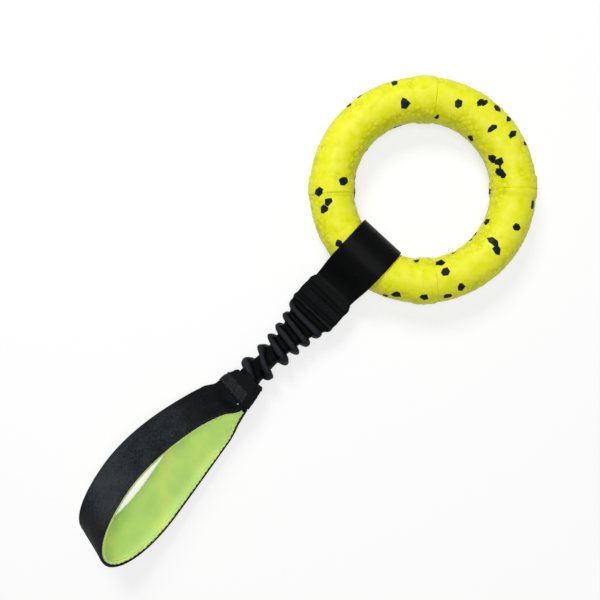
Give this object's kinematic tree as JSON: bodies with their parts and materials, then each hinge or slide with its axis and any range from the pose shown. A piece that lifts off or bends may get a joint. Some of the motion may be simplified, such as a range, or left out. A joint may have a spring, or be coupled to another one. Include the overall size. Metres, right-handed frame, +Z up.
{
  "type": "dog tug toy",
  "caption": "Dog tug toy: a flecked neon yellow rubber ring in a black webbing eye, a ruched bungee and a hand loop of black webbing lined with lime neoprene",
  "frame": {"origin": "on the ground under the middle of the toy's bounding box", "axes": "X runs along the toy, its ring at +X and its hand loop at -X; Z is up from the ground the toy lies on"},
  "size_m": [0.3809, 0.146, 0.0572],
  "materials": {
    "ring_rubber": "satin moulded rubber, finely pebbled, with black flecks moulded in",
    "satin_webbing": "smooth satin webbing",
    "bungee_webbing": "matt ruched webbing",
    "elastic": "covered flat elastic",
    "stitched_tab": "dense zigzag stitching",
    "handle_webbing": "twill webbing with a soft sheen",
    "lime_neoprene": "mottled brushed neoprene"
  },
  "bodies": {
    "ring": {"ring": "ring_rubber"},
    "strap": {"ring_strap": "satin_webbing"},
    "bungee": {"bungee_sleeve": "bungee_webbing", "elastic_band": "elastic"},
    "tab": {"sewn_tab": "stitched_tab"},
    "handle": {"handle_webbing": "handle_webbing", "handle_lining": "lime_neoprene"}
  },
  "joints": [
    {"name": "ring_turn", "type": "hinge", "parent": "ring", "child": "strap", "pos_m": [0.11747, 0, 0.01605], "axis": [0, 0, 1], "continuous": true},
    {"name": "leash_swing", "type": "hinge", "parent": "strap", "child": "bungee", "pos_m": [0.05883, -0.0014, 0.01605], "axis": [0, 1, 0], "range_deg": [-100, 100], "deforming": ["ring_strap"]},
    {"name": "bungee_stretch", "type": "slide", "parent": "bungee", "child": "tab", "axis": [-1, 0, 0], "range_m": [0, 0.045], "stiffness_N_per_m": 1000, "deforming": ["bungee_sleeve", "elastic_band"]},
    {"name": "handle_fold", "type": "hinge", "parent": "tab", "child": "handle", "pos_m": [-0.06308, 0.0002, 0.01187], "axis": [0, 0.809, -0.5878], "range_deg": [-110, 110], "deforming": ["handle_webbing", "handle_lining"]}
  ]
}
